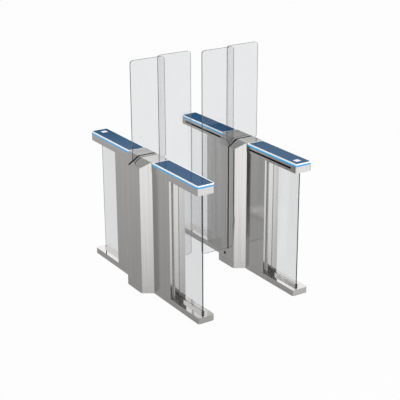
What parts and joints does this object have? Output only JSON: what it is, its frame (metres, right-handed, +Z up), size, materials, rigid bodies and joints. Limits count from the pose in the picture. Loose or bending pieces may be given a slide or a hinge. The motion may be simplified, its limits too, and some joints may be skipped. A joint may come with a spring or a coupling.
{
  "type": "sliding gate turnstile",
  "caption": "Walkway gate: twin steel pedestals with lit glass-topped rails, fixed glass screens and tall glass leaves that slide out to close the lane.",
  "frame": {"origin": "on the floor in the middle of the walkway, halfway along it", "axes": "+X across the walkway to the right pedestal, +Y along the walkway, +Z up"},
  "size_m": [1.158, 1.58, 1.8],
  "materials": {
    "plinth_steel": "satin brushed",
    "cover_steel": "satin brushed upright",
    "roof_steel": "satin brushed",
    "rail_steel": "satin brushed along the rail",
    "frame_steel": "galvanised",
    "bright_steel": "ground",
    "carriage_aluminium": "anodised",
    "pulley_aluminium": "turned and anodised",
    "screen_glass": "clear toughened",
    "leaf_glass": "clear toughened",
    "side_glass": "clear toughened",
    "blue_glass": "gloss, painted on the back",
    "light_guide": "lit acrylic",
    "sensor_window": "dark infrared acrylic",
    "seal_rubber": "matt",
    "belt_rubber": "matt",
    "motor_enamel": "satin enamel",
    "lock_chrome": "polished",
    "reader_plastic": "moulded"
  },
  "bodies": {
    "pedestals": {"left_plinth": "plinth_steel", "left_inner_frame": "cover_steel", "left_outer_cover": "cover_steel", "left_lane_cover": "cover_steel", "left_roof": "roof_steel", "left_slot_seal": "seal_rubber", "left_fixed_screen": "screen_glass", "left_fixed_clamp": "frame_steel", "left_guide_rails": "bright_steel", "left_drive_belt": "belt_rubber", "left_drive_motor": "motor_enamel", "left_lock_barrel": "lock_chrome", "left_reader": "reader_plastic", "left_near_rail": "rail_steel", "left_near_rail_glass": "blue_glass", "left_near_light_guide": "light_guide", "left_near_sensor_window": "sensor_window", "left_near_side_glass": "side_glass", "left_far_rail": "rail_steel", "left_far_rail_glass": "blue_glass", "left_far_light_guide": "light_guide", "left_far_sensor_window": "sensor_window", "left_far_side_glass": "side_glass", "right_plinth": "plinth_steel", "right_inner_frame": "cover_steel", "right_outer_cover": "cover_steel", "right_lane_cover": "cover_steel", "right_roof": "roof_steel", "right_slot_seal": "seal_rubber", "right_fixed_screen": "screen_glass", "right_fixed_clamp": "frame_steel", "right_guide_rails": "bright_steel", "right_drive_belt": "belt_rubber", "right_drive_motor": "motor_enamel", "right_lock_barrel": "lock_chrome", "right_reader": "reader_plastic", "right_near_rail": "rail_steel", "right_near_rail_glass": "blue_glass", "right_near_light_guide": "light_guide", "right_near_sensor_window": "sensor_window", "right_near_side_glass": "side_glass", "right_far_rail": "rail_steel", "right_far_rail_glass": "blue_glass", "right_far_light_guide": "light_guide", "right_far_sensor_window": "sensor_window", "right_far_side_glass": "side_glass"},
    "left_leaf": {"left_sliding_leaf": "leaf_glass", "left_leaf_carriage": "carriage_aluminium", "left_leaf_clamp": "bright_steel"},
    "left_drive_pulley": {"left_drive_pulley": "pulley_aluminium"},
    "left_lane_idler": {"left_lane_idler": "pulley_aluminium"},
    "left_outer_idler": {"left_outer_idler": "pulley_aluminium"},
    "left_lock_cylinder": {"left_lock_cylinder": "lock_chrome"},
    "right_leaf": {"right_sliding_leaf": "leaf_glass", "right_leaf_carriage": "carriage_aluminium", "right_leaf_clamp": "bright_steel"},
    "right_drive_pulley": {"right_drive_pulley": "pulley_aluminium"},
    "right_lane_idler": {"right_lane_idler": "pulley_aluminium"},
    "right_outer_idler": {"right_outer_idler": "pulley_aluminium"},
    "right_lock_cylinder": {"right_lock_cylinder": "lock_chrome"}
  },
  "joints": [
    {"name": "left_leaf_slide", "type": "slide", "parent": "pedestals", "child": "left_leaf", "axis": [-1, 0, 0], "range_m": [0, 0.244]},
    {"name": "left_drive_pulley_turn", "type": "hinge", "parent": "pedestals", "child": "left_drive_pulley", "pos_m": [-0.427, 0.056, 0.51], "axis": [0, -1, 0], "range_deg": [0, 660]},
    {"name": "left_lane_idler_turn", "type": "hinge", "parent": "pedestals", "child": "left_lane_idler", "pos_m": [-0.298, 0.056, 0.62], "axis": [0, -1, 0], "range_deg": [0, 1060]},
    {"name": "left_outer_idler_turn", "type": "hinge", "parent": "pedestals", "child": "left_outer_idler", "pos_m": [-0.556, 0.056, 0.62], "axis": [0, -1, 0], "range_deg": [0, 1060]},
    {"name": "left_lock_turn", "type": "hinge", "parent": "pedestals", "child": "left_lock_cylinder", "pos_m": [-0.275, -0.012, 0.095], "axis": [1, 0, 0], "range_deg": [0, 90]},
    {"name": "right_leaf_slide", "type": "slide", "parent": "pedestals", "child": "right_leaf", "axis": [1, 0, 0], "range_m": [0, 0.244]},
    {"name": "right_drive_pulley_turn", "type": "hinge", "parent": "pedestals", "child": "right_drive_pulley", "pos_m": [0.427, -0.056, 0.51], "axis": [0, 1, 0], "range_deg": [0, 660]},
    {"name": "right_lane_idler_turn", "type": "hinge", "parent": "pedestals", "child": "right_lane_idler", "pos_m": [0.298, -0.056, 0.62], "axis": [0, 1, 0], "range_deg": [0, 1060]},
    {"name": "right_outer_idler_turn", "type": "hinge", "parent": "pedestals", "child": "right_outer_idler", "pos_m": [0.556, -0.056, 0.62], "axis": [0, 1, 0], "range_deg": [0, 1060]},
    {"name": "right_lock_turn", "type": "hinge", "parent": "pedestals", "child": "right_lock_cylinder", "pos_m": [0.275, 0.012, 0.095], "axis": [-1, 0, 0], "range_deg": [0, 90]}
  ],
  "couplings": [
    {"joint": "left_drive_pulley_turn", "follows": "left_leaf_slide", "rad_per_m": 46.948},
    {"joint": "left_lane_idler_turn", "follows": "left_leaf_slide", "rad_per_m": 75.188},
    {"joint": "left_outer_idler_turn", "follows": "left_leaf_slide", "rad_per_m": 75.188},
    {"joint": "right_drive_pulley_turn", "follows": "right_leaf_slide", "rad_per_m": 46.948},
    {"joint": "right_lane_idler_turn", "follows": "right_leaf_slide", "rad_per_m": 75.188},
    {"joint": "right_outer_idler_turn", "follows": "right_leaf_slide", "rad_per_m": 75.188}
  ]
}
